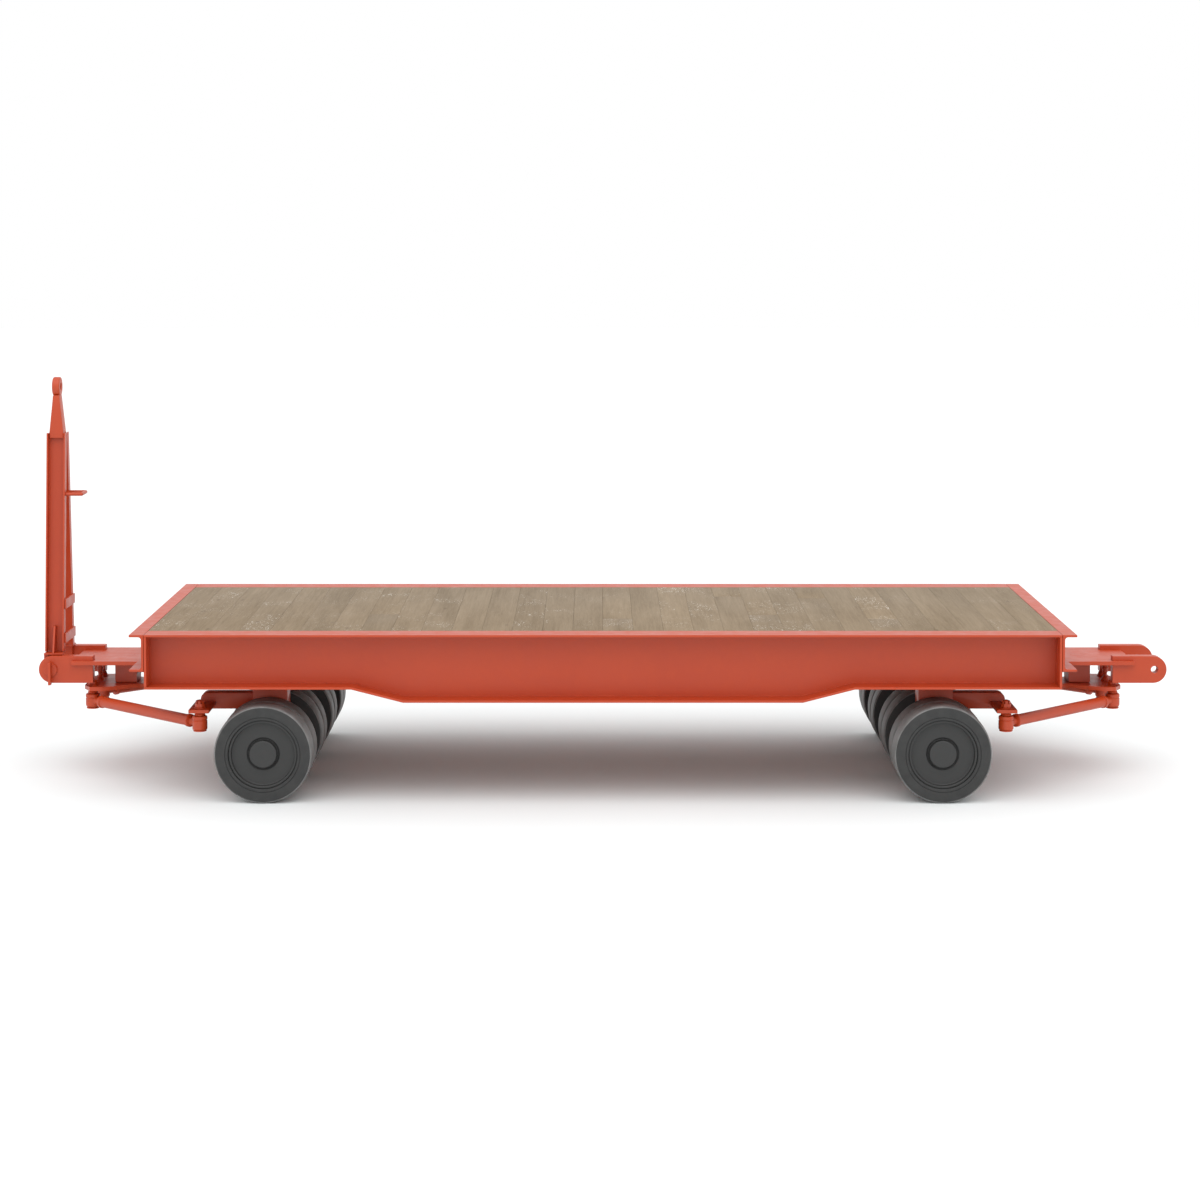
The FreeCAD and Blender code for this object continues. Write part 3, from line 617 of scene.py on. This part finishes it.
def make_rim(end, side, dual):
    """A wheel centre that carries two tyres: the dished face outside, the hub behind it."""
    where = f"{end}_{side}_{dual}"
    node = f"rim_{where}"
    bm = bmesh.new()
    centre = middle_of(f"tyres_{where}")
    outward = SIDES[side] * (1 if dual == "outer" else -1)
    front = disc_profile(outward)
    inner = RIM_RADIUS - RIM_WALL
    back = [
        (RIM_SEAT, -RIM_LIP + 0.003),
        (RIM_SEAT - 0.003, -RIM_LIP),
        (inner + 0.003, -RIM_LIP),
        (inner, -RIM_LIP + 0.003),
        (inner, DISC_FACE - DISC_WALL - 0.006),
        (inner - 0.006, DISC_FACE - DISC_WALL),
        (HUB_RADIUS, DISC_FACE - DISC_WALL),
        (HUB_RADIUS, 0.003 - HUB_END),
        (HUB_RADIUS - 0.003, -HUB_END),
        (HUB_BORE, -HUB_END),
        (HUB_BORE, HUB_CAVITY),
        (0, HUB_CAVITY),
    ]
    loop = front[::-1] + [(r, outward * h) for r, h in back]
    lathe(bm, loop, centre, Y, 96)
    piece(f"wheel_{where}", bm, f"{where}_wheel", "rim_paint", [RIM_PAINT], node)


# ---------------------------------------------------------------- steering linkage


def barrel(bm, centre, bore, depth):
    """A ball-joint housing: a barrel with rounded shoulders and a groove under its top band."""
    half = depth / 2
    outer = ROD_END_RADIUS
    waist = outer - 0.0025
    base = min(0.014, outer - bore - 0.001)
    section = [(bore, -half), (outer - base, -half)]
    section += arc(outer - base, -half + base, base, -90, 0, 5)[1:]
    section += [(outer, half * 0.30), (waist, half * 0.36), (waist, half * 0.46), (outer, half * 0.52)]
    section += arc(outer - 0.008, half - 0.008, 0.008, 0, 90, 4)
    section += [(bore, half)]
    lathe(bm, section, centre, Z, 40, closed=True)


def make_tie_rod(end, side):
    """A tube with a collar and neck at each end, between two ball-joint housings."""
    where = f"{end}_{side}"
    node = f"tie_rod_{where}"
    low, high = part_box(node)
    e, s = ENDS[end], SIDES[side]
    inset = ROD_END_RADIUS
    xs = sorted((abs(low.x), abs(high.x)))
    ys = sorted((abs(low.y), abs(high.y)))
    z = (low.z + high.z) / 2
    fork_eye = Vector((e * (xs[1] - inset), s * (ys[0] + inset), z))
    bogie_eye = Vector((e * (xs[0] + inset), s * (ys[1] - inset), z))
    run = (bogie_eye - fork_eye).length
    start = ROD_END_RADIUS * 0.9
    neck_end = start + ROD_NECK_LENGTH
    collar_end = neck_end + COLLAR_LENGTH
    half = [
        (ROD_NECK + 0.003, start),
        (ROD_NECK, start + 0.010),
        (ROD_NECK, neck_end - 0.004),
        (COLLAR_RADIUS - 0.002, neck_end),
        (COLLAR_RADIUS, neck_end + 0.003),
        (COLLAR_RADIUS, collar_end - 0.003),
        (ROD_RADIUS, collar_end),
        (ROD_RADIUS, collar_end + 0.02),
    ]
    body = half + [(r, run - h) for r, h in reversed(half)]
    bm = bmesh.new()
    lathe(bm, [(0, start)] + body + [(0, run - start)], fork_eye, bogie_eye - fork_eye, 40)
    barrel(bm, fork_eye, FORK_BORE, high.z - low.z)
    barrel(bm, bogie_eye, BOGIE_BORE, high.z - low.z)
    piece(f"tie_rod_tube_{where}", bm, f"{where}_tie_rod", "orange_paint", [PAINT], node)


def ball_stud(bm, foot, plate_top, boot_top, tip_top):
    """A ball stud from its cap up: dust boot, washer, castle nut and threaded tip."""
    cap = STUD_CAP_RADIUS
    profile = [(0, 0), (cap - 0.006, 0)]
    profile += arc(cap - 0.004, 0.004, 0.004, -90, 60, 4)
    profile += [(cap - 0.008, STUD_CAP_WALL), (STUD_RADIUS, STUD_CAP_WALL)]
    boot_bottom = STUD_CAP_WALL + ROD_END_DEPTH + BOOT_CLEARANCE
    height = boot_top - foot.z
    profile += [(STUD_RADIUS, boot_bottom), (BOOT_RADIUS - 0.003, boot_bottom)]
    profile += arc(BOOT_RADIUS - 0.004, boot_bottom + 0.005, 0.004, -60, 60, 4)
    profile += [(BOOT_RADIUS - 0.006, height - 0.001), (STUD_RADIUS, height - 0.001)]
    seat = plate_top - foot.z
    profile += [(STUD_RADIUS, seat)]
    profile += [(WASHER_RADIUS - 0.002, seat), (WASHER_RADIUS, seat + 0.0015)]
    profile += [(WASHER_RADIUS, seat + 0.004), (WASHER_RADIUS - 0.0015, seat + WASHER_WALL)]
    tip = tip_top - foot.z
    profile += [(TIP_RADIUS, seat + WASHER_WALL), (TIP_RADIUS, tip - 0.003)]
    profile += [(TIP_RADIUS - 0.003, tip), (0, tip)]
    lathe(bm, profile, foot, Z, 40)
    castle_nut(bm, foot + Z * (seat + 0.005), NUT_RADIUS, tip - seat - 0.010)


def make_ball_studs(end):
    """The fork's two ball studs, painted over like the rest of the steering."""
    node = f"fork_ball_studs_{end}"
    low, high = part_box(node)
    plate_low, plate_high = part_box(f"fork_lower_plate_{end}")
    bm = bmesh.new()
    for side in SIDES.values():
        foot = Vector(((low.x + high.x) / 2, side * (high.y - STUD_CAP_RADIUS), low.z))
        ball_stud(bm, foot, plate_high.z, plate_low.z, plate_high.z + NUT_STACK)
    piece(f"ball_studs_{end}", bm, f"{end}_fork", "orange_paint", [PAINT], node)


# ---------------------------------------------------------------- bogies


def rounded_outline(corners, plane_y):
    """Points round an outline of (x, z, radius) corners, in an upright plane along X."""
    points = []
    for index, (x, z, radius) in enumerate(corners):
        here = Vector((x, z))
        before = (Vector(corners[index - 1][:2]) - here).normalized()
        after = (Vector(corners[(index + 1) % len(corners)][:2]) - here).normalized()
        if not radius:
            points.append(Vector((x, plane_y, z)))
            continue
        reach = radius / math.tan(before.angle(after) / 2)
        for step in range(7):
            share = step / 6
            near = here + before * reach * (1 - share)
            far = here + after * reach * share
            spot = near * (1 - share) + far * share
            points.append(Vector((spot.x, plane_y, spot.y)))
    return points


def make_bogie(end, side):
    """Turntable half, column, axle boss, steering arm, and the bracket with its ball stud."""
    node = f"bogie_frame_{end}_{side}"
    e, s = ENDS[end], SIDES[side]
    low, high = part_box(node)
    wheels = [middle_of(f"tyres_{end}_{side}_{dual}") for dual in DUALS]
    axle = (wheels[0] + wheels[1]) / 2
    disc_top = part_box(f"bolster_{end}")[0].z - TURNTABLE_WALL
    bm = bmesh.new()
    pin_top = high.z - disc_top
    disc = [(0, -TURNTABLE_WALL), (TURNTABLE_RADIUS - TURNED_EDGE, -TURNTABLE_WALL)]
    disc += [(TURNTABLE_RADIUS, TURNED_EDGE - TURNTABLE_WALL), (TURNTABLE_RADIUS, -TURNED_EDGE)]
    disc += [(TURNTABLE_RADIUS - TURNED_EDGE, 0), (SWIVEL_PIN, 0)]
    disc += [(SWIVEL_PIN, pin_top), (0, pin_top)]
    lathe(bm, disc, (axle.x, axle.y, disc_top), Z, 72)
    half_x, half_y = COLUMN_LENGTH / 2, COLUMN_WIDTH / 2
    column_top = disc_top - TURNTABLE_WALL
    near = (axle.x - half_x, axle.y - half_y, axle.z)
    far = (axle.x + half_x, axle.y + half_y, column_top)
    slab(bm, near, far, BLOCK_EDGE)
    boss = [(AXLE_BORE, -half_y), (BOSS_RADIUS - 0.004, -half_y), (BOSS_RADIUS, 0.004 - half_y)]
    boss += [(r, -h) for r, h in reversed(boss)]
    lathe(bm, boss, axle, Y, 64, closed=True)

    stud_x = axle.x + e * ARM_REACH
    stud_y = s * (abs(low.y) if s < 0 else abs(high.y)) - s * BRACKET_MARGIN
    arm_end = stud_x + e * 0.0275
    arm_top = ARM_BOTTOM + ARM_DEPTH
    corners = [
        (axle.x + e * half_x * 0.6, ARM_BOTTOM, 0),
        (arm_end, ARM_BOTTOM, 0.010),
        (arm_end, arm_top, 0.040),
        (axle.x + e * half_x * 0.6, arm_top, 0),
    ]
    prism(bm, rounded_outline(corners, axle.y), Y, -ARM_WIDTH / 2, ARM_WIDTH, edge=0.003)
    inner_y, outer_y = sorted((axle.y, stud_y + s * BRACKET_MARGIN))
    bracket_top = BRACKET_BOTTOM + BRACKET_WALL
    half_bracket = BRACKET_LENGTH / 2
    near = (stud_x - half_bracket, inner_y, BRACKET_BOTTOM)
    slab(bm, near, (stud_x + half_bracket, outer_y, bracket_top), BLOCK_EDGE)
    foot = Vector((stud_x, stud_y, STUD_FOOT))
    ball_stud(bm, foot, bracket_top, BRACKET_BOTTOM, bracket_top + NUT_STACK + 0.014)
    piece(f"bogie_{end}_{side}", bm, f"{end}_{side}_bogie", "orange_paint", [PAINT], node)


# ---------------------------------------------------------------- frame and fork details


def make_channel_fillets(end):
    """The rolled inside corners of the end channel, between its flanges and its web."""
    node_low, node_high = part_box(f"end_beam_{end}")
    e = ENDS[end]
    web = (node_high.x if e < 0 else node_low.x) + e * BEAM_WALL
    bm = bmesh.new()
    for flange, up in ((node_low.z + BEAM_WALL, 1), (node_high.z - BEAM_WALL, -1)):
        centre = Vector((web + e * CHANNEL_FILLET, 0, flange + up * CHANNEL_FILLET))
        outline = [Vector((web - e * 0.001, 0, flange - up * 0.001))]
        for step in range(9):
            a = math.pi / 2 * step / 8
            curve = Vector((-e * math.sin(a), 0, -up * math.cos(a))) * CHANNEL_FILLET
            outline.append(centre + curve)
        prism(bm, outline, Y, node_low.y + 0.001, node_high.y - node_low.y - 0.002)
    piece(f"end_channel_fillets_{end}", bm, "chassis", "orange_paint", [PAINT])


def make_pillar(end):
    """The waisted bolt that ties the two fork plates on their centre line."""
    node = f"fork_pillar_{end}"
    low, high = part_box(node)
    height = high.z - low.z
    profile = [(0, 0), (PILLAR_BASE, 0), (PILLAR_BASE, 0.004), (0.022, 0.010), (0.016, 0.020)]
    profile += [(PILLAR_NECK + 0.0005, 0.026), (PILLAR_NECK, 0.036), (PILLAR_NECK + 0.0005, 0.044)]
    profile += [(PILLAR_SHAFT, 0.050), (PILLAR_SHAFT, 0.062), (PILLAR_COLLAR, 0.064)]
    profile += [(PILLAR_COLLAR, 0.074), (PILLAR_SHAFT, 0.076), (PILLAR_SHAFT, height), (0, height)]
    bm = bmesh.new()
    centre = middle_of(node)
    lathe(bm, profile, (centre.x, centre.y, low.z), Z, 36)
    piece(f"pillar_{end}", bm, f"{end}_fork", "orange_paint", [PAINT], node)


def make_kingpin(end):
    """The fork's kingpin, its top dressed flush with the plate and painted over."""
    node = f"kingpin_{end}"
    low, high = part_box(node)
    centre = middle_of(node)
    height = high.z - low.z
    edge, rim = 0.003, high.x - centre.x
    profile = [(0, 0), (rim - edge, 0), (rim, edge), (rim, RETAINER_WALL - edge)]
    profile += [(rim - edge, RETAINER_WALL), (KINGPIN_RADIUS, RETAINER_WALL)]
    profile += [(KINGPIN_RADIUS, height - 0.001), (KINGPIN_RADIUS - 0.001, height), (0, height)]
    bm = bmesh.new()
    lathe(bm, profile, (centre.x, centre.y, low.z), Z, 64)
    piece(f"fork_kingpin_{end}", bm, f"{end}_fork", "orange_paint", [PAINT], node)


def make_drawbar_head():
    """The tapered shank, lapped over the legs' webs at its foot, and its welded towing ring."""
    low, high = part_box("drawbar_head")
    ring_low, ring_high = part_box("tow_eye")
    centre = (ring_low + ring_high) / 2
    outer = (ring_high.z - ring_low.z) / 2
    leg_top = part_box("drawbar_leg_left")[1].z
    neck = centre.z - outer * 0.86
    foot, waist = HEAD_FOOT_WIDTH / 2, HEAD_NECK_WIDTH / 2
    tucked = leg_top - HEAD_TUCK
    right_side = [(foot, tucked), (foot, leg_top), (waist, neck)]
    corners = right_side + [(-across, height) for across, height in reversed(right_side)]
    outline = [Vector((centre.x + across, 0, height)) for across, height in corners]
    bm = bmesh.new()
    prism(bm, outline, Y, -HEAD_DEPTH / 2, HEAD_DEPTH, edge=0.004, segments=3)
    half = (ring_high.x - ring_low.x) / 2
    section = [(EYE_BORE, -half + 0.004), (EYE_BORE + 0.004, -half)]
    section += arc(outer - 0.008, -half + 0.008, 0.008, -90, 0, 4)
    section += arc(outer - 0.008, half - 0.008, 0.008, 0, 90, 4)
    section += [(EYE_BORE + 0.004, half), (EYE_BORE, half - 0.004)]
    lathe(bm, section, centre, X, 72, closed=True)
    piece("towing_head", bm, "drawbar", "orange_paint", [PAINT], "drawbar_head", "tow_eye")


# ---------------------------------------------------------------- build


dress_cad_nodes()
make_deck()
make_drawbar_head()
for end_name in ENDS:
    make_channel_fillets(end_name)
    make_ball_studs(end_name)
    make_pillar(end_name)
    make_kingpin(end_name)
    for side_name in SIDES:
        make_bogie(end_name, side_name)
        make_tie_rod(end_name, side_name)
        for dual_name in DUALS:
            make_tyres(end_name, side_name, dual_name)
            make_rim(end_name, side_name, dual_name)


def make_floor():
    bm = bmesh.new()
    bmesh.ops.create_grid(bm, x_segments=8, y_segments=8, size=60)
    mesh = bpy.data.meshes.new("floor")
    bm.to_mesh(mesh)
    bm.free()
    mesh.materials.append(make_floor_finish())
    floor = bpy.data.objects.new("floor", mesh)
    floor.location.z = -0.0005
    bpy.context.scene.collection.objects.link(floor)


make_floor()
bpy.context.scene.view_settings.view_transform = "Standard"
